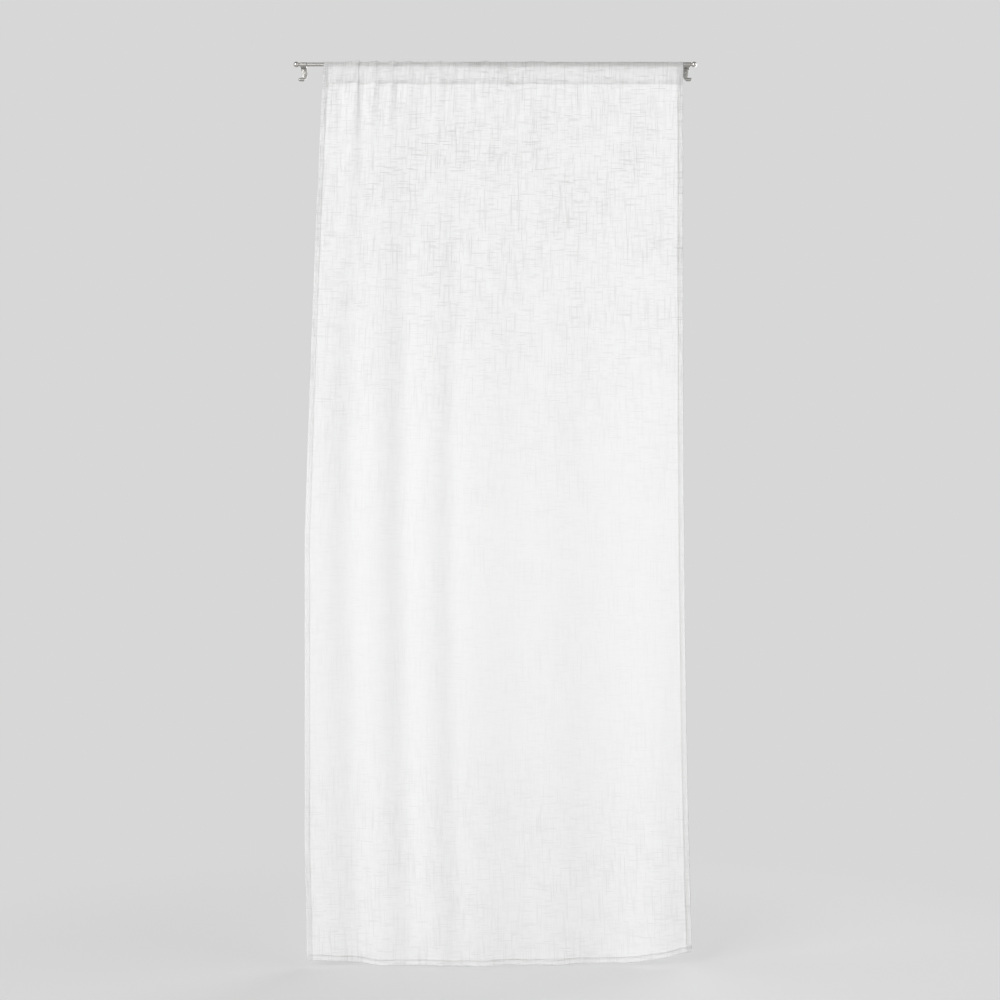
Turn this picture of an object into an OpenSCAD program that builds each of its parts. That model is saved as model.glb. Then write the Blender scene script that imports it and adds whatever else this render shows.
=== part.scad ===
// Sheer door curtain gathered on a slim telescopic rod, held by two screwed brackets.
// X runs along the rod, Y runs from the front to the mounting face and Z is up.
// The origin is the centre of the screw pattern, on the mounting face.

/* [Rod] */
// Distance between the centre lines of the two brackets
bracket_spacing = 852; // [780:1:900]
// Distance from the mounting face to the rod axis
rod_projection = 18; // [16:0.5:30]
// Outside diameter of the outer tube
outer_tube_d = 10; // [9:0.1:12]
// Wall of the outer tube
outer_tube_wall = 0.7; // [0.5:0.05:1]
// Length of the outer tube
outer_tube_length = 500; // [460:1:600]
// Wall of the inner tube
inner_tube_wall = 0.6; // [0.4:0.05:0.9]
// Length of the inner tube
inner_tube_length = 500; // [460:1:600]
// Radial play of the inner tube in the outer tube
tube_play = 0.08; // [0.02:0.01:0.1]
// How far each tube runs past the centre line of its bracket
tube_overhang = 8.5; // [8.5:0.1:15]

/* [Ball ends] */
// Diameter of the ball
ball_d = 12.5; // [11:0.1:18]
// Thickness of the flange that caps the tube
flange_t = 0.8; // [0.5:0.1:2]
// Diameter of the neck between flange and ball
neck_d = 6.4; // [5:0.1:7]
// Length of the neck from the flange to the ball
neck_length = 1.4; // [1:0.1:5]
// Length of the plug inside the tube
plug_length = 12; // [6:0.5:25]
// Radial gap between plug and tube
plug_gap = 0.05; // [0.02:0.01:0.1]

/* [Brackets] */
// Width of the cradle along the rod
cradle_w = 13; // [10:0.5:15]
// Wall around the rod seat
cradle_wall = 2; // [1.5:0.1:2.5]
// Gap between a tube and its seat
seat_gap = 0.3; // [0.2:0.05:0.5]
// How far the lips of the cradle stand above the rod axis
lip_rise = 1.5; // [0.5:0.1:3]
// Thickness of the arm that carries the cradle
arm_t = 4.4; // [3:0.1:5]
// Leg of the gusset under the arm
gusset_leg = 4; // [2:0.5:4.5]
// Thickness of the plate on the mounting face
plate_t = 3; // [2.4:0.1:4]
// Rim of the plate above the head of the upper screw
plate_rim = 1; // [0.6:0.1:3]
// How far the round front of the stem stands out from the mounting face
stem_depth = 6.5; // [6:0.1:8]
// Radius of the round front of the stem, seen from above
stem_front_r = 9.4; // [9:0.1:14]
// Distance from the bracket's centre line to the outer side of the ankle
ankle_x = 3; // [2:0.1:4]
// How far the curve of the heel is pulled past the side of the cradle
heel_pull = 2.5; // [0:0.1:3]
// Drop from the rod axis to the fullest part of the heel
heel_drop = 22; // [18:0.5:24]
// Drop from the rod axis to the sole of the foot
foot_drop = 34.5; // [33:0.5:45]
// Radius of the round foot
foot_r = 3.9; // [3.3:0.1:5]
// How far the toe reaches outward of the bracket's centre line
toe_reach = 12.6; // [11:0.1:18]

/* [Screws] */
// Vertical distance between the two screws of a bracket
screw_spacing = 20; // [19:0.5:22]
// Height of the upper screw above the rod axis
screw_rise = 4.2; // [4:0.1:5]
// Distance from the mounting face to the head of the lower screw, sunk in the stem
stem_seat = 5; // [4:0.1:5.5]
// Outside diameter of the thread
screw_d = 3; // [2.8:0.1:3.2]
// Diameter of the plain neck under the head
screw_neck_d = 2.4; // [2:0.1:2.7]
// How far the plain neck runs past the mounting face
neck_past = 0.5; // [0.3:0.1:2]
// Diameter of the countersunk head
screw_head_d = 5.6; // [5:0.1:6]
// Height of the countersunk head
screw_head_h = 1.6; // [1.2:0.1:2]
// Length from the top of the head to the tip
screw_length = 16; // [12:1:25]
// Length of the point
screw_point = 3; // [2:0.5:5]
// Gap around the thread and the head in the bracket
screw_gap = 0.15; // [0.05:0.05:0.3]
// Width of a wing of the cross recess
recess_w = 0.8; // [0.6:0.1:1.2]
// Span of the cross recess
recess_span = 3; // [2:0.1:4]
// Depth of the cross recess
recess_depth = 0.9; // [0.5:0.1:1.1]

/* [Curtain] */
// Bare rod between the left bracket and the gathered heading
bare_rod = 39.4; // [5:0.1:120]
// Gap between the right edge of the heading and the bracket
edge_gap = 0.6; // [0.4:0.1:10]
// Drop from the rod axis to the lowest hem
curtain_drop = 2000; // [1200:10:2400]
// Drop from the rod axis to the seam of the rod pocket
pocket_drop = 43; // [30:1:80]
// Gap between the rod and the cloth of the pocket
pocket_play = 0.6; // [0.5:0.1:3]
// Thickness of one layer of cloth
cloth_t = 0.4; // [0.3:0.05:0.6]
// Width of a side hem
side_hem = 12; // [8:0.5:20]
// Height of the bottom hem
bottom_hem = 13; // [8:0.5:30]
// How far the left edge swings out below the heading
flare_left = 43; // [0:1:60]
// How far the left edge comes back in at the hem
tuck_left = 5; // [0:1:10]
// How far the right edge swings out at the hem
flare_right = 22; // [0:1:40]
// How much higher the right corner of the hem hangs
corner_lift = 16; // [0:1:30]
// Depth of the deepest long fold
fold_depth = 26; // [5:0.5:30]
// Height of the tallest gather
gather_height = 8; // [2:0.5:9]

/* [Hidden] */
$fn = 64;
cloth_color = [0.95, 0.95, 0.94];
tube_color = [0.66, 0.66, 0.67];
ball_color = [0.8, 0.8, 0.82];
bracket_color = [0.7, 0.7, 0.7];
screw_color = [0.62, 0.62, 0.63];

// A cut runs this far past the faces that it opens.
past = 1;
rod_z = screw_spacing / 2 - screw_rise;
half_span = bracket_spacing / 2;
tube_end = half_span + tube_overhang;
outer_r = outer_tube_d / 2;
outer_bore_r = outer_r - outer_tube_wall;
inner_r = outer_bore_r - tube_play;
inner_bore_r = inner_r - inner_tube_wall;
ball_reach = sqrt(pow(ball_d / 2, 2) - pow(neck_d / 2, 2));
cradle_r = outer_r + seat_gap + cradle_wall;
plate_rise = screw_rise + screw_head_d / 2 + plate_rim;
// Points on the curve of the heel, and how far above the sole its lower end is pulled
heel_points = 20;
heel_curve = 6;
// Ends of the foot's axis
foot_start = ankle_x / 2;
foot_end = toe_reach - foot_r;

heading_right = half_span - cradle_w / 2 - edge_gap;
heading_left = bare_rod + cradle_w / 2 - half_span;
heading_width = heading_right - heading_left;
pocket_r = outer_r + pocket_play + cloth_t / 2;
hem_t = 3 * cloth_t;
seam_t = 3 * cloth_t;
// Length over which the cloth goes from a hem's thickness to a single layer
hem_step = 0.8;
side_hem_share = side_hem / heading_width;
hem_step_share = hem_step / heading_width;
// Height above the seam at which the two layers of the pocket part
pocket_apex = 4;
// Share of the drop at which the left edge has swung out, and from which it tucks in again
flare_end = 0.52;
tuck_start = 0.85;
// How the side edges curve on their way out: under 1 is quick at first, over 1 is slow at first
left_curve = 0.8;
right_curve = 3;
// Share of the width from which the right corner of the hem lifts
lift_start = 0.72;
// How far a gather spreads to each side for each millimetre that it runs down
gather_spread = 0.06;
// Share of a gather's height that lifts the cloth off the rod, and that lifts the seam
gather_on_rod = 0.4;
gather_on_seam = 0.6;

// Small gathers pushed up on the rod: place and half width as shares of the heading's width,
// height as a share of the tallest, length of run as a share of the drop
GATHERS = [
  [0.068, 0.0063, 0.5, 0.06], [0.087, 0.0069, 1, 0.21], [0.138, 0.0088, 0.63, 0.12],
  [0.186, 0.0088, 0.69, 0.15], [0.233, 0.01, 0.5, 0.1], [0.32, 0.0125, 0.38, 0.075],
  [0.447, 0.0113, 0.44, 0.055], [0.575, 0.0113, 0.38, 0.045], [0.606, 0.0113, 0.31, 0.04]
];
// Long soft folds: place at the rod and at the hem, half width at both, as shares of the heading's width,
// then depth half way down and at the hem as shares of the deepest. A negative depth falls to the back.
FOLDS = [
  [0.035, 0.078, 0.048, 0.063, 0.19, 0.19], [0.095, 0.129, 0.03, 0.05, -0.23, -0.27],
  [0.169, 0.202, 0.043, 0.056, 0.31, 0.31], [0.244, 0.271, 0.03, 0.04, -0.27, -0.31],
  [0.338, 0.36, 0.075, 0.119, 0.35, 1], [0.38, 0.388, 0.03, 0.04, -0.27, -0.31],
  [0.475, 0.498, 0.053, 0.075, 0.19, 0.35], [0.656, 0.641, 0.065, 0.088, 0.15, 0.35],
  [0.767, 0.783, 0.1, 0.138, -0.23, -0.38], [0.948, 0.913, 0.053, 0.069, 0.08, 0.35],
  [1, 1, 0.075, 0.075, -0.08, -0.38]
];

// Places of the columns across the width, closer together where the cloth is gathered
GATHERED_SHARE = 0.46;
gathered_columns = 34;
plain_columns = 18;
COLUMNS = concat(
  [0, side_hem_share],
  [for (i = [0:gathered_columns - 1])
    mix(side_hem_share + hem_step_share, GATHERED_SHARE, i / gathered_columns)],
  [for (i = [0:plain_columns])
    mix(GATHERED_SHARE, 1 - side_hem_share - hem_step_share, i / plain_columns)],
  [1 - side_hem_share, 1]
);
// Rows of single cloth below the seam, closer together near the gathers
plain_rows = 13;
row_power = 1.7;
// Points on each side of the pocket, and turn of the cloth over the rod from point to point
side_points = 2;
arc_step = 30;
arc_points = 180 / arc_step;
loop_count = 2 * side_points + arc_points + 2;
row_count = plain_rows + 3;
outline_count = loop_count - 1 + 2 * row_count;
column_count = len(COLUMNS);
ring_count = outline_count + loop_count;

function mix(a, b, t) = a + (b - a) * t;
function ease(t) = let (c = min(1, max(0, t))) c * c * (3 - 2 * c);
function bump(t) = exp(-t * t);
function total(list, i = 0) = i < len(list) ? list[i] + total(list, i + 1) : 0;

// Side edges of the hanging cloth at a share of the drop
function left_edge(s) =
  heading_left - flare_left * pow(min(1, s / flare_end), left_curve)
  + tuck_left * ease((s - tuck_start) / (1 - tuck_start));
function right_edge(s) = heading_right + flare_right * pow(s, right_curve);

// How far the cloth stands off its plane towards the front, from the gathers and from the folds
function gather(q, drop) = gather_height * total([
  for (g = GATHERS)
    g[2] * exp(-drop / (g[3] * curtain_drop))
    * bump((q - g[0]) / (g[1] + gather_spread * drop / heading_width))
]);
function depth_at(f, s) = s < 0.5 ? f[4] * ease(2 * s) : mix(f[4], f[5], ease(2 * s - 1));
function fold(q, s) = fold_depth * total([
  for (f = FOLDS) depth_at(f, s) * bump((q - mix(f[0], f[1], s)) / mix(f[2], f[3], s))
]);

// Drop of the seam and of the hem, place along the rod, distance off the plane and the point itself,
// at a share of the width and a drop below the rod axis
function seam_drop(q) = pocket_drop - gather_on_seam * gather(q, pocket_drop);
function hem_drop(q) = curtain_drop - corner_lift * ease((q - lift_start) / (1 - lift_start));
function across(q, drop) = let (s = max(0, drop / curtain_drop)) mix(left_edge(s), right_edge(s), q);
function off_plane(q, drop) = -gather(q, drop) - fold(q, drop / curtain_drop);
function on_cloth(q, drop, y) = [across(q, drop), y - rod_projection, rod_z - drop];

// One closed turn of the pocket, from the seam up behind the rod and down in front of it, moved out by off
function pocket_turn(q, off) =
  let (
    r = pocket_r + gather_on_rod * gather(q, 0),
    seam = seam_drop(q),
    y = off_plane(q, seam),
    sides = [for (i = [1:side_points]) i / (side_points + 1)]
  )
  concat(
    [for (t = sides) on_cloth(q, seam * (1 - t), mix(y, r, t) + off)],
    [for (i = [0:arc_points]) let (a = i * arc_step) on_cloth(q, -(r + off) * sin(a), (r + off) * cos(a))],
    [for (t = sides) on_cloth(q, seam * t, mix(-r, y, t) - off)]
  );
function row_drop(q, j) =
  let (
    seam = seam_drop(q),
    hem = hem_drop(q),
    t = (j - 1) / (plain_rows - 1)
  )
  j == 0 ? seam
  : j <= plain_rows ? mix(seam + hem_step, hem - bottom_hem - hem_step, pow(t, row_power))
  : j == plain_rows + 1 ? hem - bottom_hem
  : hem;
function is_side_hem(q) = q <= side_hem_share || q >= 1 - side_hem_share;
function row_t(q, j) = j == 0 ? seam_t : is_side_hem(q) || j > plain_rows ? hem_t : cloth_t;
function tail_side(q, side, rows) = [
  for (j = rows) let (d = row_drop(q, j)) on_cloth(q, d, off_plane(q, d) + side * row_t(q, j) / 2)
];

// Outline of one column, seen along the rod, and the hollow of its pocket
function column_outline(q) = concat(
  tail_side(q, 1, [0]),
  pocket_turn(q, (is_side_hem(q) ? hem_t : cloth_t) / 2),
  tail_side(q, -1, [0:row_count - 1]),
  tail_side(q, 1, [row_count - 1:-1:1])
);
function column_hollow(q) = concat(
  [let (d = seam_drop(q)) on_cloth(q, d - pocket_apex, off_plane(q, d))],
  pocket_turn(q, -cloth_t / 2)
);

function at_outline(c, k) = c * ring_count + k % outline_count;
function at_hollow(c, k) = c * ring_count + outline_count + k % loop_count;
function quad(a, b, c, d) = [[a, b, c], [a, c, d]];
function skin() = [
  for (c = [0:column_count - 2]) for (k = [0:outline_count - 1])
    each quad(at_outline(c, k), at_outline(c, k + 1), at_outline(c + 1, k + 1), at_outline(c + 1, k))
];
function lining() = [
  for (c = [0:column_count - 2]) for (k = [0:loop_count - 1])
    each quad(at_hollow(c, k), at_hollow(c + 1, k), at_hollow(c + 1, k + 1), at_hollow(c, k + 1))
];
// The cut edge at one side: the wall of the pocket, the seam and the single cloth below it
function edge_at(c) = concat(
  [for (k = [0:loop_count - 1])
    each quad(at_outline(c, k), at_hollow(c, k), at_hollow(c, k + 1), at_outline(c, k + 1))],
  [[at_outline(c, 0), at_outline(c, loop_count), at_hollow(c, 0)]],
  [for (j = [0:row_count - 2])
    let (front = loop_count + j, back = outline_count - j)
    each quad(at_outline(c, back), at_outline(c, back - 1), at_outline(c, front + 1), at_outline(c, front))]
);
function turned(faces) = [for (f = faces) [f[2], f[1], f[0]]];

module curtain_panel() {
  points = [for (q = COLUMNS) each concat(column_outline(q), column_hollow(q))];
  faces = concat(skin(), lining(), edge_at(0), turned(edge_at(column_count - 1)));
  color(cloth_color) polyhedron(points, faces, convexity = 6);
}

// Tube along X, closed by nothing, from one end to the other
module tube(from, to, r, bore_r) {
  translate([from, -rod_projection, rod_z]) rotate([0, 90, 0]) difference() {
    cylinder(h = to - from, r = r);
    translate([0, 0, -past]) cylinder(h = to - from + 2 * past, r = bore_r);
  }
}

module outer_tube() {
  color(tube_color) tube(tube_end - outer_tube_length, tube_end, outer_r, outer_bore_r);
}

module inner_tube() {
  color(tube_color) tube(-tube_end, inner_tube_length - tube_end, inner_r, inner_bore_r);
}

// Turned ball, neck, flange and plug, for the right end of a tube
module ball_end(tube_r, bore_r) {
  translate([tube_end, -rod_projection, rod_z]) rotate([0, 90, 0]) union() {
    translate([0, 0, -plug_length]) cylinder(h = plug_length, r = bore_r - plug_gap);
    cylinder(h = flange_t, r = tube_r);
    cylinder(h = flange_t + neck_length + ball_reach, d = neck_d);
    translate([0, 0, flange_t + neck_length + ball_reach]) sphere(d = ball_d);
  }
}

module ball_end_left() {
  color(ball_color) mirror([1, 0, 0]) ball_end(inner_r, inner_bore_r);
}

module ball_end_right() {
  color(ball_color) ball_end(outer_r, outer_bore_r);
}

// Points of a smooth curve that leaves its first point towards the second and reaches its last from the third
function curve(a, b, c, d, count) = [
  for (i = [0:count])
    let (t = i / count, u = 1 - t)
    u * u * u * a + 3 * u * u * t * b + 3 * u * t * t * c + t * t * t * d
];

// The stem seen from the front, with outward to the right: straight outer side, ankle and curved heel
module stem_front() {
  side = cradle_w / 2;
  top = arm_t / 2 - cradle_r;
  heel = [-side - heel_pull, -heel_drop];
  under_heel = [-side - heel_pull / 2, heel_curve - foot_drop];
  instep = 2 * foot_r - foot_drop;
  polygon(concat(
    [[-side, top], [side, top], [side, -cradle_r], [ankle_x, instep], [ankle_x, instep - foot_r]],
    curve([foot_start, -foot_drop], under_heel, heel, [-side, -cradle_r], heel_points)
  ));
}

// Stem with a round front, as cast
module stem() {
  intersection() {
    rotate([90, 0, 0]) linear_extrude(stem_depth + past) stem_front();
    translate([0, stem_front_r - stem_depth, -foot_drop - past])
      cylinder(h = foot_drop + past, r = stem_front_r);
  }
}

// Round foot that points outward along the mounting face
module foot() {
  length = foot_end - foot_start;
  translate([foot_start, -foot_r, foot_r - foot_drop]) {
    sphere(r = foot_r);
    rotate([0, 90, 0]) cylinder(h = length, r = foot_r);
    translate([length, 0, 0]) sphere(r = foot_r);
  }
}

// Plate, arm, gusset and open cradle, seen along the rod
module cradle_side(seat_r) {
  arm_top = arm_t - cradle_r;
  gusset_foot = cradle_r + gusset_leg;
  difference() {
    union() {
      translate([-rod_projection, 0]) circle(r = cradle_r);
      translate([-rod_projection, -cradle_r]) square([rod_projection, arm_t]);
      polygon([
        [0, arm_top], [-plate_t - gusset_leg, arm_top], [-plate_t - gusset_leg, -cradle_r],
        [-plate_t, -gusset_foot], [0, -gusset_foot]
      ]);
      translate([-plate_t, -gusset_foot]) square([plate_t, gusset_foot + plate_rise]);
    }
    translate([-rod_projection, 0]) circle(r = seat_r);
    translate([-rod_projection - seat_r, 0]) square([2 * seat_r, cradle_r + past]);
    translate([-rod_projection - cradle_r - past, lip_rise]) square([2 * (cradle_r + past), cradle_r + past]);
  }
}

// Hole, countersink and way in for a screw whose head lies a depth out from the mounting face
module screw_hole(height, depth) {
  hole_d = screw_d + 2 * screw_gap;
  head_hole_d = screw_head_d + 2 * screw_gap;
  translate([0, -depth, height]) rotate([-90, 0, 0]) {
    cylinder(h = depth + past, d = hole_d);
    cylinder(h = screw_head_h, d1 = head_hole_d, d2 = hole_d);
    translate([0, 0, -stem_depth]) cylinder(h = stem_depth, d = head_hole_d);
  }
}

// Bracket for the right end of the rod, with a seat for a tube of radius tube_r
module bracket(tube_r) {
  translate([half_span, 0, rod_z]) difference() {
    union() {
      rotate([90, 0, 90]) linear_extrude(cradle_w, center = true) cradle_side(tube_r + seat_gap);
      stem();
      foot();
    }
    screw_hole(screw_rise, plate_t);
    screw_hole(screw_rise - screw_spacing, stem_seat);
  }
}

module bracket_left() {
  color(bracket_color) mirror([1, 0, 0]) bracket(inner_r);
}

module bracket_right() {
  color(bracket_color) bracket(outer_r);
}

// Countersunk wood screw with a plain neck, its head a depth out from the mounting face
module screw(side, height, depth) {
  neck = depth + neck_past;
  thread_end = screw_length - screw_point;
  color(screw_color) translate([side * half_span, -depth, height]) rotate([-90, 0, 0]) difference() {
    union() {
      cylinder(h = screw_head_h, d1 = screw_head_d, d2 = screw_neck_d);
      cylinder(h = neck, d = screw_neck_d);
      translate([0, 0, neck]) cylinder(h = thread_end - neck, d = screw_d);
      translate([0, 0, thread_end]) cylinder(h = screw_point, d1 = screw_d, d2 = 0);
    }
    for (turn = [0, 90]) rotate(turn)
      translate([-recess_span / 2, -recess_w / 2, -past]) cube([recess_span, recess_w, recess_depth + past]);
  }
}

module screw_left_top() { screw(-1, screw_spacing / 2, plate_t); }
module screw_left_low() { screw(-1, -screw_spacing / 2, stem_seat); }
module screw_right_top() { screw(1, screw_spacing / 2, plate_t); }
module screw_right_low() { screw(1, -screw_spacing / 2, stem_seat); }

curtain_panel();
outer_tube();
inner_tube();
ball_end_left();
ball_end_right();
bracket_left();
bracket_right();
screw_left_top();
screw_left_low();
screw_right_top();
screw_right_low();
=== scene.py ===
import math

import bmesh
import bpy
import numpy as np
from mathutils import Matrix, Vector


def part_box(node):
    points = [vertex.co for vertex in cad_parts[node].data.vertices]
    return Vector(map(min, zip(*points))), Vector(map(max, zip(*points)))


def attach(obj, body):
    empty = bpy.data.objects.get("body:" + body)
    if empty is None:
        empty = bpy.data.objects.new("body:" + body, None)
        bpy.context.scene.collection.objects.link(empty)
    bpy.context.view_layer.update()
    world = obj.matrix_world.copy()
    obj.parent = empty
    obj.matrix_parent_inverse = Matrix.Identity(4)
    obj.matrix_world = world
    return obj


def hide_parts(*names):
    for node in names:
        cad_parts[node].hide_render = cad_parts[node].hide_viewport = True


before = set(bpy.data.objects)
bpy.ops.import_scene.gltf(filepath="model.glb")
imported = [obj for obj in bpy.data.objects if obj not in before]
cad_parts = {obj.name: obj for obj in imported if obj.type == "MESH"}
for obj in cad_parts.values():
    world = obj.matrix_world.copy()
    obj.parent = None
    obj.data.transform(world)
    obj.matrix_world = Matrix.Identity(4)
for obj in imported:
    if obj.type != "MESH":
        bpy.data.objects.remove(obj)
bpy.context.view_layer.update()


# Rod: two thin drawn steel tubes, satin nickel plated, cut square with softened ends. The thinner one slides
# in the thicker one to suit the width it spans, and both lie loose in the brackets' cradles.
outer_low, outer_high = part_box("outer_tube")
inner_low, inner_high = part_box("inner_tube")
axis_y = (outer_low.y + outer_high.y) / 2
axis_z = (outer_low.z + outer_high.z) / 2
outer_r = (outer_high.z - outer_low.z) / 2
inner_r = (inner_high.z - inner_low.z) / 2
outer_wall = 0.0007
inner_wall = 0.0006
rim_round = 0.0002
round_edge = 40
nickel_satin = "#B3B2AF"
draw_line_length = 0.030
draw_line_width = 0.0006


def place_object(name, data):
    """Puts a mesh, curve, lamp or camera into the scene under its name."""
    placed = bpy.data.objects.new(name, data)
    bpy.context.scene.collection.objects.link(placed)
    return placed


def shade(mesh, sharp_angle):
    """Shades a mesh smooth, apart from edges sharper than the angle in degrees."""
    mesh.polygons.foreach_set("use_smooth", [True] * len(mesh.polygons))
    mesh.set_sharp_from_angle(angle=math.radians(sharp_angle))


def new_piece(name, verts, faces):
    """Makes an object of a mesh, with its faces turned outward."""
    mesh = bpy.data.meshes.new(name)
    mesh.from_pydata(verts, [], faces)
    work = bmesh.new()
    work.from_mesh(mesh)
    bmesh.ops.recalc_face_normals(work, faces=work.faces)
    work.to_mesh(mesh)
    work.free()
    shade(mesh, round_edge)
    return place_object(name, mesh)


def turned(name, profile, hollow, segments=72):
    """Turns a profile of (x, radius) points round the rod's axis. A hollow one closes on itself."""
    angles = [2 * math.pi * i / segments for i in range(segments)]
    verts = [(x, axis_y + r * math.sin(a), axis_z + r * math.cos(a)) for x, r in profile for a in angles]
    rings = len(profile)
    faces = []
    for ring in range(rings if hollow else rings - 1):
        here = ring * segments
        there = (ring + 1) % rings * segments
        for i in range(segments):
            after = (i + 1) % segments
            faces.append((here + i, here + after, there + after, there + i))
    if not hollow:
        faces.append(tuple(range(segments)))
        faces.append(tuple(range((rings - 1) * segments, rings * segments)))
    return new_piece(name, verts, faces)


def linear(colour):
    """Turns an sRGB hex colour into the linear RGBA that sockets take."""
    shares = [int(colour[i:i + 2], 16) / 255 for i in (1, 3, 5)]
    return tuple(c / 12.92 if c <= 0.04045 else ((c + 0.055) / 1.055) ** 2.4 for c in shares) + (1.0,)


def new_material(name):
    """Starts an empty node material and gives it with its tree."""
    made = bpy.data.materials.new(name)
    made.use_nodes = True
    made.node_tree.nodes.clear()
    return made, made.node_tree


def add(tree, kind, values=None, links=None, **settings):
    """Adds one node with its settings, its plain socket values and its links from other nodes."""
    node = tree.nodes.new("ShaderNode" + kind)
    for setting, value in settings.items():
        setattr(node, setting, value)
    for socket, value in (values or {}).items():
        node.inputs[socket].default_value = value
    for socket, source in (links or {}).items():
        tree.links.new(source, node.inputs[socket])
    return node


def tube_profile(x0, x1, radius, wall):
    """Section of a tube from x0 to x1, with softened rims."""
    bore = radius - wall
    return [(x0, bore + rim_round), (x0, radius - rim_round), (x0 + rim_round, radius),
            (x1 - rim_round, radius), (x1, radius - rim_round), (x1, bore + rim_round),
            (x1 - rim_round, bore), (x0 + rim_round, bore)]


# Satin nickel on drawn tube: grey and softly lit, with faint lines along the tube that break up its gloss.
# The lines are drawn 0.6 mm wide, coarser than real ones, so that they show.
drawn_nickel, tree = new_material("satin_nickel_on_drawn_tube")
place = add(tree, "TexCoord")
along = add(tree, "Mapping", {"Scale": (1 / draw_line_length, 1 / draw_line_width, 1 / draw_line_width)},
            {"Vector": place.outputs["Object"]})
lines = add(tree, "TexNoise", {"Scale": 1.0, "Detail": 3.0}, {"Vector": along.outputs[0]})
gloss = add(tree, "MapRange", {"From Min": 0.3, "From Max": 0.7, "To Min": 0.38, "To Max": 0.5},
            {"Value": lines.outputs[0]})
relief = add(tree, "Bump", {"Strength": 0.25, "Distance": 0.00003}, {"Height": lines.outputs[0]})
metal = add(tree, "BsdfPrincipled", {"Base Color": linear(nickel_satin), "Metallic": 1.0},
            {"Roughness": gloss.outputs[0], "Normal": relief.outputs[0]})
add(tree, "OutputMaterial", None, {"Surface": metal.outputs[0]})

for name, low, high, radius, wall, body in (
        ("outer_tube", outer_low, outer_high, outer_r, outer_wall, "brackets_and_rod"),
        ("inner_tube", inner_low, inner_high, inner_r, inner_wall, "inner_rod")):
    tube = turned("rod_" + name, tube_profile(low.x, high.x, radius, wall), hollow=True)
    tube.data.materials.append(drawn_nickel)
    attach(tube, body)
    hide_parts(name)


# Ball ends: turned brass, polished and nickel plated. Each has a plug pushed into its tube, a flange against
# the tube's end, and a short neck that swells into the ball.
ball_low, ball_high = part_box("ball_end_right")
ball_r = (ball_high.z - ball_low.z) / 2
flange_t = 0.0008
neck_r = 0.0032
plug_gap = 0.00005
neck_fillet = 0.0006
fillet_middle = 0.3
ball_steps = 40
tip_turn = math.pi * 0.985
nickel_polished = "#BDBAB7"
polish_mark = 0.0012


def ball_profile(tube_end, plug_end, tip, tube_r, bore):
    """Section of a ball end from its plug to its tip, for either end of the rod."""
    out = 1 if tip > tube_end else -1
    centre = tip - out * ball_r
    plug_r = bore - plug_gap
    flange_end = tube_end + out * flange_t
    bow = neck_fillet * fillet_middle
    start = math.asin(neck_r / ball_r) + neck_fillet / ball_r
    join = centre - out * ball_r * math.cos(start)
    points = [(plug_end, plug_r - rim_round), (plug_end + out * rim_round, plug_r), (tube_end, plug_r),
              (tube_end, tube_r - rim_round), (tube_end + out * rim_round, tube_r),
              (flange_end - out * rim_round, tube_r), (flange_end, tube_r - rim_round),
              (flange_end, neck_r + neck_fillet), (flange_end + out * bow, neck_r + bow),
              (flange_end + out * neck_fillet, neck_r), ((flange_end + join) / 2, neck_r)]
    for i in range(ball_steps):
        turn = start + (tip_turn - start) * i / (ball_steps - 1)
        points.append((centre - out * ball_r * math.cos(turn), ball_r * math.sin(turn)))
    return points


# Polished nickel plate: a bright, slightly warm mirror with soft marks from the wheel.
polished_nickel, tree = new_material("polished_nickel_on_brass")
place = add(tree, "TexCoord")
marks = add(tree, "TexNoise", {"Scale": 1 / polish_mark, "Detail": 4.0}, {"Vector": place.outputs["Object"]})
gloss = add(tree, "MapRange", {"From Min": 0.35, "From Max": 0.7, "To Min": 0.12, "To Max": 0.22},
            {"Value": marks.outputs[0]})
metal = add(tree, "BsdfPrincipled", {"Base Color": linear(nickel_polished), "Metallic": 1.0},
            {"Roughness": gloss.outputs[0]})
add(tree, "OutputMaterial", None, {"Surface": metal.outputs[0]})

left_low, left_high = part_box("ball_end_left")
for name, profile, body in (
        ("ball_end_right", ball_profile(outer_high.x, ball_low.x, ball_high.x, outer_r, outer_r - outer_wall),
         "brackets_and_rod"),
        ("ball_end_left", ball_profile(inner_low.x, left_high.x, left_low.x, inner_r, inner_r - inner_wall),
         "inner_rod")):
    ball = turned("polished_" + name, profile, hollow=False)
    ball.data.materials.append(polished_nickel)
    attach(ball, body)
    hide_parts(name)


# Brackets: a mirrored pair cast in zinc, tumbled so that every edge is rounded, and satin nickel plated. Each
# is screwed on by its flat back. It has an open cradle for the rod, and below that a stem with a heel and a
# round foot.
cast_grain = 0.00035
tumble_passes = 9
nickel_cast = "#B2B1AE"
nickel_cast_dull = "#A09F9C"
cast_patch = 0.006
cast_pit = 0.0005

# Satin nickel on cast zinc: soft grey with a low sheen, cloudy patches and a fine cast texture.
cast_nickel, tree = new_material("satin_nickel_on_cast_zinc")
place = add(tree, "TexCoord")
patches = add(tree, "TexNoise", {"Scale": 1 / cast_patch, "Detail": 3.0}, {"Vector": place.outputs["Object"]})
pits = add(tree, "TexNoise", {"Scale": 1 / cast_pit, "Detail": 2.0}, {"Vector": place.outputs["Object"]})
tint = add(tree, "MixRGB", {"Color1": linear(nickel_cast), "Color2": linear(nickel_cast_dull)},
           {"Fac": patches.outputs[0]})
gloss = add(tree, "MapRange", {"From Min": 0.3, "From Max": 0.7, "To Min": 0.42, "To Max": 0.55},
            {"Value": patches.outputs[0]})
relief = add(tree, "Bump", {"Strength": 0.2, "Distance": 0.00004}, {"Height": pits.outputs[0]})
metal = add(tree, "BsdfPrincipled", {"Metallic": 1.0},
            {"Base Color": tint.outputs[0], "Roughness": gloss.outputs[0], "Normal": relief.outputs[0]})
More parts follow.
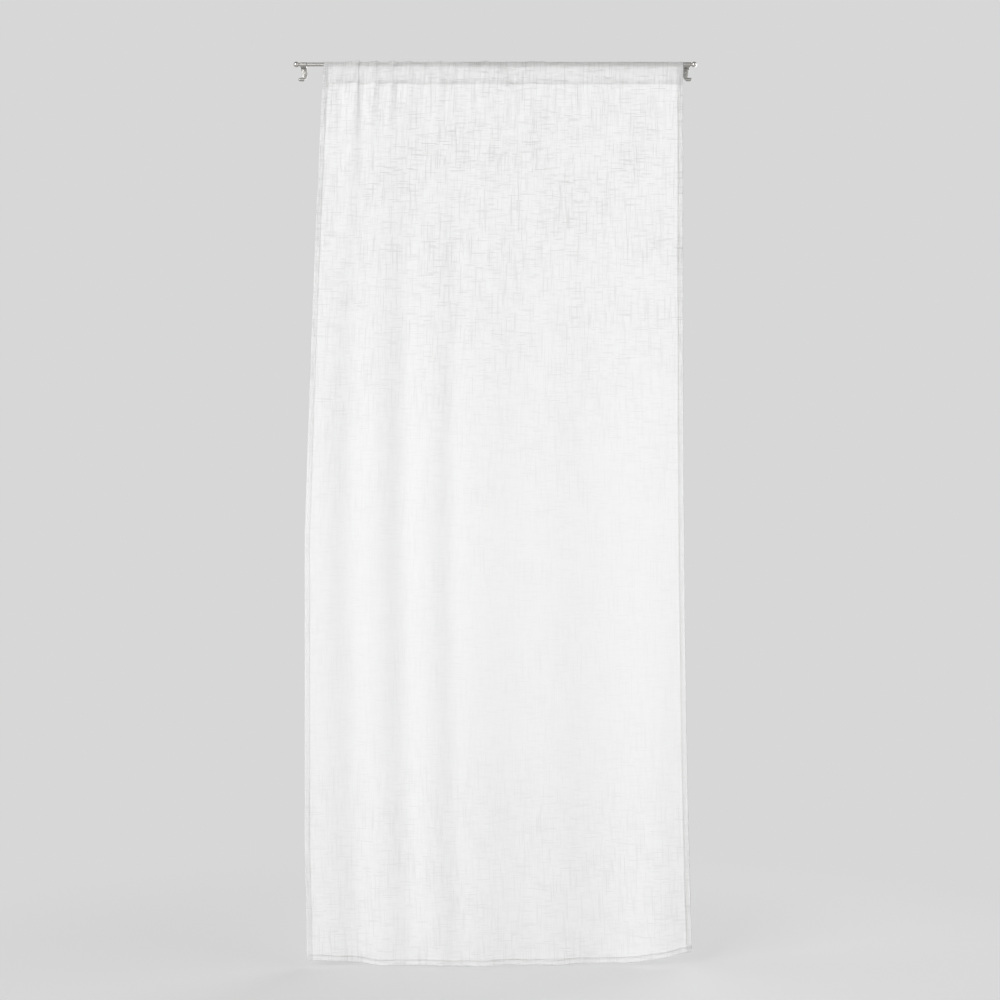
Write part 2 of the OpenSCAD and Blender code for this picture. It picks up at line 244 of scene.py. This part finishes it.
add(tree, "OutputMaterial", None, {"Surface": metal.outputs[0]})

for side in ("left", "right"):
    name = "bracket_" + side
    bracket = place_object("cast_" + name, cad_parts[name].data.copy())
    bracket.data.materials.clear()
    bracket.data.materials.append(cast_nickel)
    casting = bracket.modifiers.new("casting", "REMESH")
    casting.mode = "VOXEL"
    casting.voxel_size = cast_grain
    casting.use_smooth_shade = True
    tumbling = bracket.modifiers.new("tumbling", "SMOOTH")
    tumbling.iterations = tumble_passes
    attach(bracket, "brackets_and_rod")
    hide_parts(name)


# Screws: four countersunk wood screws of nickel plated steel, two through each bracket. The head and its
# cross recess are pressed, and the thread is rolled up to a plain neck under the head.
thread_pitch = 0.0013
thread_core = 0.0010
thread_crest = 0.0015
thread_start = 0.0004
screw_point = 0.003
point_curve = 0.8
tip_r = 0.00003
crest_share = 0.24
thread_sides = 28
thread_step = 0.0001
weld_gap = 1e-6
screw_round_edge = 32
nickel_screw = "#C3C0BA"
plating_patch = 0.002

# Nickel plate on steel: bright grey, a little yellow beside the satin castings, with uneven gloss.
screw_nickel, tree = new_material("nickel_plated_steel")
place = add(tree, "TexCoord")
patches = add(tree, "TexNoise", {"Scale": 1 / plating_patch, "Detail": 3.0},
              {"Vector": place.outputs["Object"]})
gloss = add(tree, "MapRange", {"From Min": 0.3, "From Max": 0.7, "To Min": 0.16, "To Max": 0.34},
            {"Value": patches.outputs[0]})
metal = add(tree, "BsdfPrincipled", {"Base Color": linear(nickel_screw), "Metallic": 1.0},
            {"Roughness": gloss.outputs[0]})
add(tree, "OutputMaterial", None, {"Surface": metal.outputs[0]})


def rolled_thread(work, x, z, tip):
    """Adds a threaded shank to the mesh being worked on, from the neck to the point."""
    rings = int((tip - thread_start) / thread_step)
    last = None
    for i in range(rings + 1):
        y = thread_start + (tip - thread_start) * i / rings
        taper = min(1.0, (tip - y) / screw_point) ** point_curve
        run_in = min(1.0, (y - thread_start) / thread_pitch)
        ring = []
        for j in range(thread_sides):
            turn = j / thread_sides
            phase = ((y - thread_start) / thread_pitch - turn) % 1
            ridge = max(0.0, 1 - abs(phase - 0.5) / crest_share) * run_in
            r = max(tip_r, (thread_core + (thread_crest - thread_core) * ridge) * taper)
            angle = 2 * math.pi * turn
            ring.append(work.verts.new((x + r * math.cos(angle), y, z + r * math.sin(angle))))
        if last:
            for j in range(thread_sides):
                k = (j + 1) % thread_sides
                work.faces.new((last[j], last[k], ring[k], ring[j]))
        else:
            work.faces.new(ring)
        last = ring
    work.faces.new(last)


for name in ("screw_left_top", "screw_left_low", "screw_right_top", "screw_right_low"):
    low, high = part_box(name)
    work = bmesh.new()
    work.from_mesh(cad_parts[name].data)
    bmesh.ops.remove_doubles(work, verts=work.verts, dist=weld_gap)
    cut = bmesh.ops.bisect_plane(work, geom=work.verts[:] + work.edges[:] + work.faces[:],
                                 plane_co=(0, thread_start, 0), plane_no=(0, 1, 0), clear_outer=True)
    rim = [part for part in cut["geom_cut"] if isinstance(part, bmesh.types.BMEdge)]
    bmesh.ops.contextual_create(work, geom=rim)
    rolled_thread(work, (low.x + high.x) / 2, (low.z + high.z) / 2, high.y)
    bmesh.ops.recalc_face_normals(work, faces=work.faces)
    mesh = bpy.data.meshes.new("threaded_" + name)
    work.to_mesh(mesh)
    work.free()
    mesh.materials.append(screw_nickel)
    shade(mesh, screw_round_edge)
    screw = place_object("threaded_" + name, mesh)
    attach(screw, "brackets_and_rod")
    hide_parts(name)


# Curtain: one length of sheer slub voile, hemmed down both sides and along the bottom, and turned over at
# the top into a pocket for the rod. It hangs gathered, more at its left, and its hems are folded behind in
# two layers.
panel_low, panel_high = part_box("curtain_panel")
screw_low, screw_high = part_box("screw_right_top")
bracket_x = (screw_low.x + screw_high.x) / 2
cradle_w = 0.013
edge_gap = 0.002
bare_rod = 0.0394
heading_left = -bracket_x + cradle_w / 2 + bare_rod
heading_right = bracket_x - cradle_w / 2 - edge_gap
heading_width = heading_right - heading_left
curtain_drop = axis_z - panel_low.z

# The pocket, the hems and the cloth as it was cut.
pocket_drop = 0.043
pocket_slack = 0.0008
pocket_r = outer_r + pocket_slack
pocket_tuck = 0.010
tuck_fold = 0.001
tuck_layer = 1.5
layer_gap = 0.0004
side_hem = 0.012
bottom_hem = 0.013
turn_under = 0.0085
finished_width = 0.90

# How far the side edges swing out. The left one is fully out at a share of the drop, and tucks in again near
# the hem. A curve under 1 swings out early, and one over 1 late.
flare_left = 0.043
flare_end = 0.52
left_curve = 0.8
tuck_left = 0.005
tuck_start = 0.85
tuck_run = 0.15
flare_right = 0.022
right_curve = 3

# How far the corners of the hem hang higher, over which share of the width, and the hem's own small waves:
# how far each turns across the width and where it starts, in radians, and its share of the height.
left_lift = 0.010
left_lift_share = 0.2
right_lift = 0.026
right_lift_share = 0.25
hem_wave = 0.0012
HEM_WAVES = [(31, 1, 1.0), (67, 2, 0.6)]

# The deepest fold and the tallest gather, how gathers spread and lean on their way down, and how much of
# them lifts the cloth off the rod and pulls up the seam.
fold_depth = 0.026
gather_height = 0.008
gather_spread = 0.06
gather_lean = 0.9
lean_run = 0.5
gather_on_rod = 0.55
gather_on_seam = 0.6

# Each gather of the heading: place and half width as shares of the width, height as a share of the tallest,
# and run as a share of the drop.
GATHERS = [
    [0.068, 0.0063, 0.50, 0.060],
    [0.087, 0.0069, 1.00, 0.210],
    [0.138, 0.0088, 0.63, 0.120],
    [0.186, 0.0088, 0.69, 0.150],
    [0.233, 0.0100, 0.50, 0.100],
    [0.320, 0.0125, 0.38, 0.075],
    [0.447, 0.0113, 0.44, 0.055],
    [0.575, 0.0113, 0.38, 0.045],
    [0.606, 0.0113, 0.31, 0.040],
]

# Each long fold: place at the rod and at the hem, half width at the rod and at the hem, and depth halfway
# down and at the hem as shares of the deepest.
FOLDS = [
    [0.035, 0.078, 0.048, 0.063, 0.19, 0.19],
    [0.095, 0.129, 0.030, 0.050, -0.23, -0.27],
    [0.169, 0.202, 0.043, 0.056, 0.31, 0.31],
    [0.244, 0.271, 0.030, 0.040, -0.27, -0.31],
    [0.338, 0.360, 0.075, 0.119, 0.35, 1.00],
    [0.380, 0.388, 0.030, 0.040, -0.27, -0.31],
    [0.475, 0.498, 0.053, 0.075, 0.19, 0.35],
    [0.656, 0.641, 0.065, 0.088, 0.15, 0.35],
    [0.767, 0.783, 0.100, 0.138, -0.23, -0.38],
    [0.948, 0.913, 0.053, 0.069, 0.08, 0.35],
    [1.000, 1.000, 0.075, 0.075, -0.08, -0.38],
]

# Fine puckers at random: width, height, start and lean of each. They run a few widths down, and calm to a
# share of their height from left to right.
pucker_count = 26
pucker_height = 0.00016
pucker_waves = (0.009, 0.030)
pucker_heights = (0.6, 1.4)
pucker_leans = (-9, 9)
pucker_seed = 11
pucker_run = 5
back_pucker_shift = 0.37
calm_share = 0.45
calm_start = 0.3
calm_run = 0.4
rng = np.random.default_rng(pucker_seed)
PUCKERS = [(rng.uniform(*pucker_waves), rng.uniform(*pucker_heights), rng.uniform(0, 2 * math.pi),
            rng.uniform(*pucker_leans)) for _ in range(pucker_count)]


def ease(t):
    """Goes smoothly from 0 to 1 as t does."""
    t = np.clip(t, 0, 1)
    return t * t * (3 - 2 * t)


def bump(t):
    """A round hump, 1 high where t is 0."""
    return np.exp(-t * t)


def mix(a, b, t):
    """Goes straight from a to b as t goes from 0 to 1."""
    return a + (b - a) * t


def gather(q, drop):
    """How far the heading's gathers stand out, q across the width and drop below the rod's axis."""
    total = 0
    for spot, half_width, height, run in GATHERS:
        total = total + height * np.exp(-drop / (run * curtain_drop)) * bump(
            (q - spot) / (half_width + gather_spread * drop / heading_width))
    return gather_height * total


def fold(q, s):
    """How far the long folds stand out, s being the share of the drop."""
    total = 0
    for top, foot, top_width, foot_width, middle, deep in FOLDS:
        depth = np.where(s < 0.5, middle * ease(2 * s), mix(middle, deep, ease(2 * s - 1)))
        total = total + depth * bump((q - mix(top, foot, s)) / mix(top_width, foot_width, s))
    return fold_depth * total


def pucker(q, drop):
    """Fine puckers below the rod. A narrow one dies out sooner than a wide one."""
    total = 0
    for wave, height, phase, lean in PUCKERS:
        total = total + height * np.exp(-np.maximum(drop, 0) / (pucker_run * wave)) * np.sin(
            2 * math.pi * q * heading_width / wave + phase + lean * drop)
    return pucker_height * total * mix(1.0, calm_share, ease((q - calm_start) / calm_run))


def seam_drop(q):
    """Drop of the pocket's seam, which the gathers pull up."""
    return pocket_drop - gather_on_seam * gather(q, pocket_drop)


def hem_drop(q):
    """Drop of the hem, which lifts at both corners and waves a little."""
    lifted = (left_lift * ease((left_lift_share - q) / left_lift_share)
              + right_lift * np.clip((q - 1 + right_lift_share) / right_lift_share, 0, 1) ** 2)
    waves = hem_wave * sum(height * np.sin(turns * q + start) for turns, start, height in HEM_WAVES)
    return curtain_drop - lifted - hem_wave + np.minimum(waves, hem_wave)


def across(q, drop):
    """Place along the rod of a point q across the width, with the gathers leaning to the right."""
    s = np.clip(drop / curtain_drop, 0, 1)
    left = (heading_left - flare_left * np.minimum(1, s / flare_end) ** left_curve
            + tuck_left * ease((s - tuck_start) / tuck_run))
    leaning = gather_lean * gather(q, np.maximum(drop, 0)) * np.exp(-np.maximum(drop, 0) / lean_run)
    return mix(left, heading_right + flare_right * s ** right_curve, q) + leaning


def off_plane(q, drop):
    """Place of the hanging cloth in front of or behind the rod's axis, negative to the front."""
    return -gather(q, drop) - fold(q, np.clip(drop / curtain_drop, 0, 1)) - pucker(q, drop)


def pocket_side(q, drop, front):
    """Place of the pocket's front or back layer, from the seam up to the rod's axis."""
    seam = seam_drop(q)
    at_seam = off_plane(q, seam) + (0 if front else 2 * layer_gap)
    at_rod = pocket_r + gather_on_rod * gather(q, 0)
    ripple = pucker(q if front else q + back_pucker_shift, drop)
    rise = np.sin(np.clip(1 - drop / seam, 0, 1) * math.pi / 2)
    if front:
        return mix(at_seam, -at_rod, rise) - ripple * np.sin(rise * math.pi)
    return mix(at_seam, at_rod, rise) + ripple * np.sin(rise * math.pi)


# Points across the cloth, and rows along it: in the tuck, on each side of the pocket, over the rod, down the
# panel, where they lie closer together near the gathers, and in the bottom hem.
columns = 340
tuck_rows = 5
side_rows = 11
over_rows = 13
panel_rows = 150
row_curve = 1.35
hem_rows = 5
q = np.linspace(0, 1, columns)
seam = seam_drop(q)
rows = []
lengths = []


def lay_row(drop, y, length):
    """Adds one row of points across the cloth, and how far along the cloth it lies."""
    rows.append(np.stack([across(q, drop), axis_y + y, axis_z - drop], axis=1))
    lengths.append(np.full(columns, length))


for share in np.linspace(1, 0, tuck_rows):
    drop = seam - share * pocket_tuck
    lay_row(drop, pocket_side(q, drop, False) - layer_gap, -(2 * pocket_drop + share * pocket_tuck))
lay_row(seam + tuck_fold, off_plane(q, seam) + tuck_layer * layer_gap, -2 * pocket_drop)
for share in np.linspace(0, 1, side_rows + 1)[:-1]:
    drop = seam * (1 - share)
    lay_row(drop, pocket_side(q, drop, False), -pocket_drop * (2 - share))
over_rod = pocket_r + gather_on_rod * (gather(q, 0) + np.maximum(pucker(q, 0), 0))
for turn in np.linspace(0, math.pi, over_rows):
    lay_row(-over_rod * math.sin(turn), over_rod * math.cos(turn), -pocket_r * (math.pi - turn))
for share in np.linspace(1, 0, side_rows + 1)[1:]:
    drop = seam * (1 - share)
    lay_row(drop, pocket_side(q, drop, True), drop)
hem = hem_drop(q)
for i in range(1, panel_rows + 1):
    drop = mix(seam, hem - bottom_hem, (i / panel_rows) ** row_curve)
    lay_row(drop, off_plane(q, drop), drop)
for share in np.linspace(1 / hem_rows, 1, hem_rows):
    drop = hem - bottom_hem * (1 - share)
    lay_row(drop, off_plane(q, drop), drop)

face = np.stack(rows)
along_cloth = np.stack(lengths)
behind = np.cross(np.gradient(face, axis=1), np.gradient(face, axis=0))
behind /= np.linalg.norm(behind, axis=2, keepdims=True)
face_rows = len(rows)

# Bottom hem: the cloth folds behind and up, and its raw edge turns under that. Over a share of the width at
# each corner it lies further back, clear of the side hems.
corner_slope = 90
left_corner = 1.4 * side_hem / heading_width
right_corner = 1.9 / corner_slope
corner_gap = 2 * layer_gap * (ease((left_corner - q) * corner_slope)
                              + ease((q - 1 + right_corner) * corner_slope))
rows_up = [face_rows - 1 - i for i in range(hem_rows + 1)]
under_rows = round(turn_under / bottom_hem * hem_rows)
folded = [(r, 2) for r in rows_up] + [(r, 1) for r in rows_up[:-1 - under_rows:-1]]
hem_layers = [face[r] + behind[r] * (layer * layer_gap + corner_gap)[:, None] for r, layer in folded]
hem_lengths = [2 * along_cloth[rows_up[0]] - along_cloth[r] if layer == 2
               else along_cloth[r] + 2 * bottom_hem for r, layer in folded]
sheet = np.concatenate([face, np.stack(hem_layers)])
lengths_all = np.concatenate([along_cloth, np.stack(hem_lengths)])
widths_all = np.broadcast_to(q * finished_width, lengths_all.shape)
verts = [sheet.reshape(-1, 3)]
places = [np.stack([widths_all, lengths_all], axis=2).reshape(-1, 2)]
faces = []
for r in range(len(sheet) - 1):
    for c in range(columns - 1):
        a = r * columns + c
        faces.append((a, a + 1, a + columns + 1, a + columns))

# Side hems: folded in the same way, from the row on top of the rod down to the bottom edge.
hem_columns = round(side_hem / heading_width * (columns - 1))
under_columns = round(turn_under / side_hem * hem_columns)
top_row = tuck_rows + 1 + side_rows + over_rows // 2
for edge, step in ((0, 1), (columns - 1, -1)):
    strip = [(edge + step * i, 2) for i in range(1, hem_columns + 1)]
    strip += [(edge + step * i, 1) for i in range(hem_columns, hem_columns - under_columns - 1, -1)]
    first = sum(len(v) for v in verts)
    strip_points = []
    strip_places = []
    for r in range(top_row, face_rows):
        for c, layer in strip:
            strip_points.append(face[r, c] + behind[r, c] * layer * layer_gap)
            strip_places.append((-q[c] * finished_width - layer * side_hem, along_cloth[r, c]))
    verts.append(np.array(strip_points))
    places.append(np.array(strip_places))
    wide = len(strip)
    for i in range(face_rows - top_row - 1):
        a = first + i * wide
        m = (top_row + i) * columns + edge
        faces.append((m, a, a + wide, m + columns))
        for c in range(wide - 1):
            faces.append((a + c, a + c + 1, a + c + wide + 1, a + c + wide))

verts = np.concatenate(verts)
places = np.concatenate(places)
mesh = bpy.data.meshes.new("curtain_cloth")
mesh.from_pydata(verts.tolist(), [], faces)
mesh.polygons.foreach_set("use_smooth", [True] * len(mesh.polygons))
corner_verts = np.empty(len(mesh.loops), dtype=np.int32)
mesh.loops.foreach_get("vertex_index", corner_verts)
mesh.uv_layers.new(name="cloth").data.foreach_set("uv", places[corner_verts].ravel())
curtain = place_object("curtain_cloth", mesh)

voile_white = "#F5F5F5"
slub_painted_shade = "#C8C8C8"
yarn_width = 0.0024
warp_slub = 0.07
weft_slub = 0.04
slub_group = 0.37
yarn_shift = 60.0
yarn_sway = 0.0012
sway_length = 0.08
patch_size = 0.13
yarn_gap_cover = 0.60
yarn_cover = 0.72
slub_cover = 0.12
light_through = 0.4

# Distances down the cloth over which the slubs and their painted shade fade below the heading and come back
# above the hem, and how strong they then are.
fade_start = 0.2
fade_end = 1.1
faded_slub = 0.28
return_start = 1.45
return_end = 1.8
returned_slub = 0.3


def yarns(tree, sideways, lengthways, slub_length):
    """Gives the cover of yarns laid side by side, and slubs at places of each yarn's own."""
    count = add(tree, "Math", {1: yarn_width}, {0: sideways}, operation="DIVIDE")
    index = add(tree, "Math", None, {0: count.outputs[0]}, operation="FLOOR")
    inside = add(tree, "Math", None, {0: count.outputs[0]}, operation="FRACT")
    own = add(tree, "TexWhiteNoise", None, {"W": index.outputs[0]}, noise_dimensions="1D")
    shares = add(tree, "SeparateXYZ", None, {0: own.outputs["Color"]})
    shift = add(tree, "Math", {1: yarn_shift}, {0: shares.outputs[0]}, operation="MULTIPLY")
    run = add(tree, "Math", {1: 1 / slub_length}, {0: lengthways, 2: shift.outputs[0]},
              operation="MULTIPLY_ADD")
    thick = add(tree, "TexNoise", {"Scale": 1.0, "Detail": 2.0}, {"W": run.outputs[0]}, noise_dimensions="1D")
    slub = add(tree, "MapRange", {"From Min": 0.38, "From Max": 0.64}, {"Value": thick.outputs[0]},
               interpolation_type="SMOOTHSTEP")
    stretch = add(tree, "Math", {1: slub_group}, {0: run.outputs[0], 2: shift.outputs[0]},
                  operation="MULTIPLY_ADD")
    group = add(tree, "TexNoise", {"Scale": 1.0, "Detail": 0.0}, {"W": stretch.outputs[0]},
                noise_dimensions="1D")
    strength = add(tree, "MapRange", {"From Min": 0.3, "From Max": 0.7, "To Min": 0.05, "To Max": 0.9},
                   {"Value": group.outputs[0]})
    streak = add(tree, "Math", None, {0: slub.outputs[0], 1: strength.outputs[0]}, operation="MULTIPLY")
    top = add(tree, "Math", {1: 0.5}, {0: inside.outputs[0]}, operation="PINGPONG")
    crest = add(tree, "MapRange", {"From Min": 0.0, "From Max": 0.3}, {"Value": top.outputs[0]},
                interpolation_type="SMOOTHSTEP")
    shown = add(tree, "Math", None, {0: streak.outputs[0], 1: crest.outputs[0]}, operation="MULTIPLY")
    return crest.outputs[0], shown.outputs[0]


# Slub voile: thin white yarns with gaps that let the light and the rod show through. Thick places in the
# yarns cover more of the gaps and make short streaks along and across the cloth, painted darker grey as the
# shade of the light they hold back. The yarns are drawn 2.4 mm wide, many times coarser than real ones, so
# that they show.
voile, tree = new_material("slub_voile")
place = add(tree, "UVMap", uv_map="cloth")
parts = add(tree, "SeparateXYZ", None, {0: place.outputs[0]})
sway = add(tree, "TexNoise", {"Scale": 1 / sway_length, "Detail": 1.0}, {"Vector": place.outputs[0]},
           noise_dimensions="2D")
swayed = add(tree, "VectorMath", {1: (yarn_sway, yarn_sway, 0)}, {0: sway.outputs["Color"]},
             operation="MULTIPLY")
laid = add(tree, "VectorMath", None, {0: place.outputs[0], 1: swayed.outputs[0]}, operation="ADD")
laid_parts = add(tree, "SeparateXYZ", None, {0: laid.outputs[0]})
warp, warp_streak = yarns(tree, laid_parts.outputs[0], laid_parts.outputs[1], warp_slub)
weft, weft_streak = yarns(tree, laid_parts.outputs[1], laid_parts.outputs[0], weft_slub)
patches = add(tree, "TexNoise", {"Scale": 1 / patch_size, "Detail": 1.0}, {"Vector": place.outputs[0]},
              noise_dimensions="2D")
patch_depth = add(tree, "MapRange", {"From Min": 0.35, "From Max": 0.65, "To Min": 0.75, "To Max": 1.0},
                  {"Value": patches.outputs[0]})
streaks = add(tree, "Math", None, {0: warp_streak, 1: weft_streak}, operation="MAXIMUM")
near_heading = add(tree, "MapRange", {"From Min": fade_start, "From Max": fade_end, "To Min": 1.0,
                                      "To Max": faded_slub},
                   {"Value": parts.outputs[1]}, interpolation_type="SMOOTHSTEP")
near_hem = add(tree, "MapRange", {"From Min": return_start, "From Max": return_end, "To Min": 0.0,
                                  "To Max": returned_slub},
               {"Value": parts.outputs[1]}, interpolation_type="SMOOTHSTEP")
level = add(tree, "Math", None, {0: near_heading.outputs[0], 1: near_hem.outputs[0]}, operation="ADD")
uneven = add(tree, "Math", None, {0: level.outputs[0], 1: patch_depth.outputs[0]}, operation="MULTIPLY")
streak = add(tree, "Math", None, {0: streaks.outputs[0], 1: uneven.outputs[0]}, operation="MULTIPLY")
weave = add(tree, "Math", None, {0: warp, 1: weft}, operation="MAXIMUM")
woven = add(tree, "MapRange", {"To Min": yarn_gap_cover, "To Max": yarn_cover}, {"Value": weave.outputs[0]})
cover = add(tree, "Math", {1: slub_cover}, {0: streak.outputs[0], 2: woven.outputs[0]},
            operation="MULTIPLY_ADD", use_clamp=True)
# Painted shade: the slubs' darker grey stands in for the light that thick yarn holds back.
tint = add(tree, "MixRGB", {"Color1": linear(voile_white), "Color2": linear(slub_painted_shade)},
           {"Fac": streak.outputs[0]})
heights = add(tree, "Math", None, {0: weave.outputs[0], 1: streak.outputs[0]}, operation="ADD")
relief = add(tree, "Bump", {"Strength": 0.3, "Distance": 0.0002}, {"Height": heights.outputs[0]})
gaps = add(tree, "BsdfTransparent")
thrown = add(tree, "BsdfDiffuse", {"Roughness": 0.6}, {"Color": tint.outputs[0], "Normal": relief.outputs[0]})
passed = add(tree, "BsdfTranslucent", None, {"Color": tint.outputs[0], "Normal": relief.outputs[0]})
yarn = add(tree, "MixShader", {0: light_through}, {1: thrown.outputs[0], 2: passed.outputs[0]})
cloth = add(tree, "MixShader", None, {0: cover.outputs[0], 1: gaps.outputs[0], 2: yarn.outputs[0]})
add(tree, "OutputMaterial", None, {"Surface": cloth.outputs[0]})
mesh.materials.append(voile)


# Sewing thread: spun white polyester, lockstitched along the pocket, the bottom hem and both side hems. The
# upper thread shows on the front and the lower one on the back.
stitch = 0.0032
stitch_inset = 0.0015
stitch_margin = 0.004
stitch_end_gap = 0.002
thread_r = 0.00016
thread_white = "#EDECE8"
thread_shade = "#D5D4D0"
thread_twist = 0.0006

# Points of a stitch: share of its length, and how many thread radii it stands out of the cloth.
STITCH_POINTS = ((0.0, -1.5), (0.2, 0.6), (0.8, 0.6))

# The upper and the lower thread: which way each stands out, and how many layers of cloth it lies behind.
THREADS = ((-1, 0), (1, 3))

seam_q = np.linspace(stitch_margin, 1 - stitch_margin, int(heading_width / stitch))
hem_q = np.linspace(stitch_margin, 1 - stitch_margin, int((panel_high.x - panel_low.x) / stitch))
side_share = (side_hem - stitch_inset) / heading_width
side_t = np.linspace(0, 1, int((curtain_drop - pocket_drop) / stitch))
side_runs = [(np.full_like(side_t, side_q), mix(seam_drop(side_q), hem_drop(side_q) - stitch_end_gap, side_t))
             for side_q in (side_share, 1 - side_share)]
runs = [(seam_q, seam_drop(seam_q)), (hem_q, hem_drop(hem_q) - bottom_hem + stitch_inset)] + side_runs

sewing = bpy.data.curves.new("sewing_thread", "CURVE")
sewing.dimensions = "3D"
sewing.bevel_depth = thread_r
sewing.bevel_resolution = 0
sewing.use_fill_caps = True


def lay_thread(curve, points):
    """Adds one run of thread through the points."""
    spline = curve.splines.new("POLY")
    spline.points.add(len(points) - 1)
    spline.points.foreach_set("co", np.column_stack([points, np.ones(len(points))]).ravel())


for run_q, run_drop in runs:
    for away, layers in THREADS:
        points = []
        for i in range(len(run_q) - 1):
            for share, out in STITCH_POINTS:
                qi = mix(run_q[i], run_q[i + 1], share)
                di = mix(run_drop[i], run_drop[i + 1], share)
                y = off_plane(qi, di) + layers * layer_gap + away * out * thread_r
                points.append((across(qi, di), axis_y + y, axis_z - di))
        lay_thread(sewing, np.array(points))

# Spun polyester: matt white with a fine twist. The twist is drawn at 0.6 mm, coarser than real, so that it
# shows.
polyester, tree = new_material("spun_polyester_thread")
place = add(tree, "TexCoord")
twist = add(tree, "TexNoise", {"Scale": 1 / thread_twist, "Detail": 1.0}, {"Vector": place.outputs["Object"]})
tint = add(tree, "MixRGB", {"Color1": linear(thread_white), "Color2": linear(thread_shade)},
           {"Fac": twist.outputs[0]})
thrown = add(tree, "BsdfDiffuse", {"Roughness": 0.6}, {"Color": tint.outputs[0]})
passed = add(tree, "BsdfTranslucent", None, {"Color": tint.outputs[0]})
fibre = add(tree, "MixShader", {0: light_through}, {1: thrown.outputs[0], 2: passed.outputs[0]})
add(tree, "OutputMaterial", None, {"Surface": fibre.outputs[0]})
sewing.materials.append(polyester)
stitching = place_object("stitching", sewing)

for piece in (curtain, stitching):
    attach(piece, "curtain")
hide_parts("curtain_panel")


# Floor and light: a plain pale studio. The floor takes the shadow under the hem and fades into the backdrop.
# Soft lamps from the front left and the right shape the folds, and a broad one behind shines through the
# cloth.
backdrop = "#D7D7D7"
backdrop_overhead = 0.55
floor_colour = "#E6E6E6"
floor_gap = 0.004
floor_reach = 14.0
fade_near = 0.5
fade_far = 1.6
floor_lift = 0.35
lamp_white = "#FFFFFF"
studio_light = 0.3


def seen_directly(tree):
    """Gives 1 for what the camera, a mirror or glass sees, and 0 for light that falls on the object."""
    path = add(tree, "LightPath")
    mirror = add(tree, "Math", None, {0: path.outputs["Is Camera Ray"], 1: path.outputs["Is Glossy Ray"]},
                 operation="MAXIMUM")
    return add(tree, "Math", None, {0: mirror.outputs[0], 1: path.outputs["Is Transmission Ray"]},
               operation="MAXIMUM").outputs[0]


world = bpy.data.worlds.new("studio")
bpy.context.scene.world = world
world.use_nodes = True
tree = world.node_tree
tree.nodes.clear()
direction = add(tree, "TexCoord")
parts = add(tree, "SeparateXYZ", None, {0: direction.outputs["Generated"]})
dimmer_above = add(tree, "MapRange", {"From Min": 0.35, "From Max": 0.85, "To Min": 1.0,
                                      "To Max": backdrop_overhead},
                   {"Value": parts.outputs["Z"]}, interpolation_type="SMOOTHSTEP")
seen = add(tree, "Background", {"Color": linear(backdrop)}, {"Strength": dimmer_above.outputs[0]})
lighting = add(tree, "Background", {"Color": linear(lamp_white), "Strength": studio_light})
both = add(tree, "MixShader", None, {0: seen_directly(tree), 1: lighting.outputs[0], 2: seen.outputs[0]})
add(tree, "OutputWorld", None, {"Surface": both.outputs[0]})

floor_z = panel_low.z - floor_gap
corners = [(x * floor_reach, y * floor_reach, floor_z) for x, y in ((-1, -1), (1, -1), (1, 1), (-1, 1))]
floor = new_piece("floor", corners, [(0, 1, 2, 3)])

# Matt floor paint: pale and even, with a soft shadow under the hem. Further off it takes on the
# backdrop's colour.
floor_paint, tree = new_material("matt_floor_paint")
place = add(tree, "TexCoord")
middle = add(tree, "VectorMath", {1: (0, axis_y, floor_z)}, {0: place.outputs["Object"]},
             operation="DISTANCE")
fade = add(tree, "MapRange", {"From Min": fade_near, "From Max": fade_far, "To Min": floor_lift},
           {"Value": middle.outputs["Value"]}, interpolation_type="SMOOTHSTEP")
far_seen = add(tree, "Math", None, {0: fade.outputs[0], 1: seen_directly(tree)}, operation="MULTIPLY")
paint = add(tree, "BsdfDiffuse", {"Color": linear(floor_colour)})
air = add(tree, "Emission", {"Color": linear(backdrop), "Strength": 1.0})
surface = add(tree, "MixShader", None, {0: far_seen.outputs[0], 1: paint.outputs[0], 2: air.outputs[0]})
add(tree, "OutputMaterial", None, {"Surface": surface.outputs[0]})
floor.data.materials.append(floor_paint)


def soft_lamp(name, place, target, size, watts):
    """Hangs a square lamp that lights the object without being seen by the camera."""
    lamp = bpy.data.lights.new(name, "AREA")
    lamp.shape = "SQUARE"
    lamp.size = size
    lamp.energy = watts
    hung = place_object(name, lamp)
    hung.location = place
    hung.rotation_euler = (Vector(target) - Vector(place)).to_track_quat("-Z", "Y").to_euler()
    hung.visible_camera = False


curtain_middle = (0, axis_y, axis_z - curtain_drop / 2)
soft_lamp("front_lamp", (-2.7, -3.6, 0.2), curtain_middle, size=3.4, watts=164)
soft_lamp("side_lamp", (3.2, -1.6, 0.2), curtain_middle, size=2.6, watts=38)
soft_lamp("back_lamp", (2.4, 3.2, -0.5), curtain_middle, size=3.4, watts=153)


# Camera: level, straight in front, as in the photograph. The photograph's frame is 1000 pixels square, and a
# pixel is 2.222 mm on the curtain. The rod's axis lies 64.5 pixels below its top, and the part's middle 495.2
# pixels from its left.
frame_pixels = 1000
pixel_size = 0.0022222
middle_pixel = 495.2
rod_pixel = 64.5
camera_distance = 4.5
camera = bpy.data.cameras.new("camera")
camera.sensor_width = 36
camera.lens = camera.sensor_width * camera_distance / (frame_pixels * pixel_size)
viewer = place_object("camera", camera)
viewer.location = ((frame_pixels / 2 - middle_pixel) * pixel_size, axis_y - camera_distance,
                   axis_z - (frame_pixels / 2 - rod_pixel) * pixel_size)
viewer.rotation_euler = (math.radians(90), 0, 0)
bpy.context.scene.camera = viewer
bpy.context.scene.view_settings.view_transform = "Standard"
